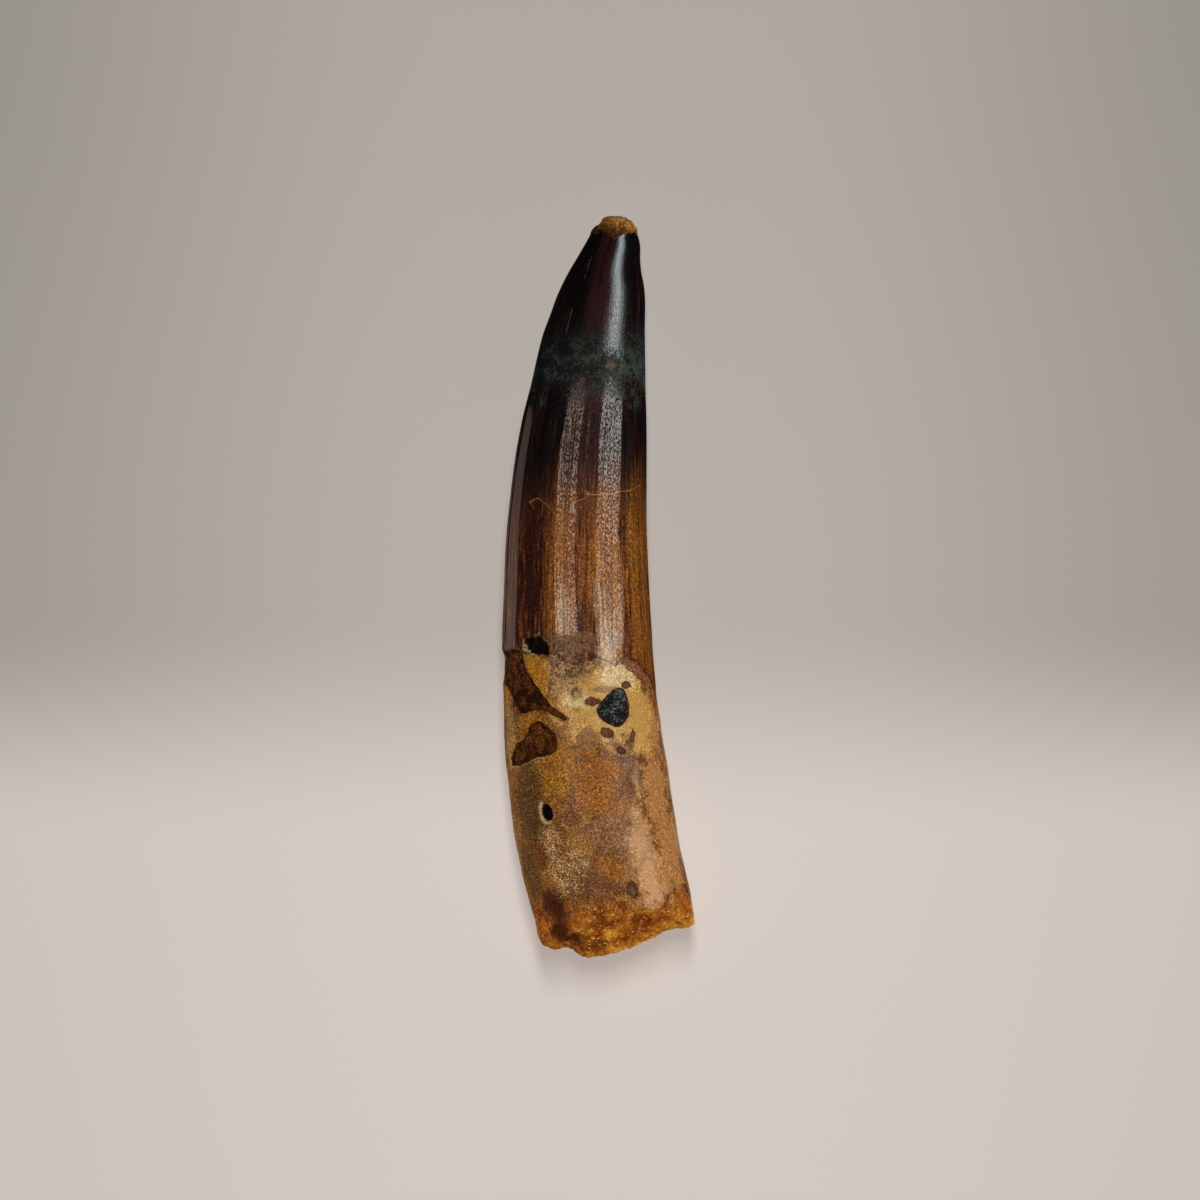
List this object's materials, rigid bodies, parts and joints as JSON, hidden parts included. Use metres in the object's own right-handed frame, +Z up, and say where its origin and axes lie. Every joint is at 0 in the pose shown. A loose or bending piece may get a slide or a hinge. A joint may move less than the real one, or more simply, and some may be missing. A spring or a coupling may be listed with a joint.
{
  "type": "fossil dinosaur tooth",
  "caption": "long, slightly curved conical fossil tooth with a dark glossy fluted crown, a brown pitted root and a broken root end, lying on its side",
  "frame": {"origin": "centre of the bounding box, on the surface that the tooth lies on", "axes": "+Y from the broken root end to the tip, +Z up, +X to the right of the picture; the side seen in the picture faces +Z"},
  "size_m": [0.0284, 0.11, 0.0196],
  "materials": {
    "fossil_tooth": "polished dark enamel on the crown, semi-gloss brown root"
  },
  "bodies": {
    "root": {"fossil_tooth": "fossil_tooth"}
  },
  "joints": []
}
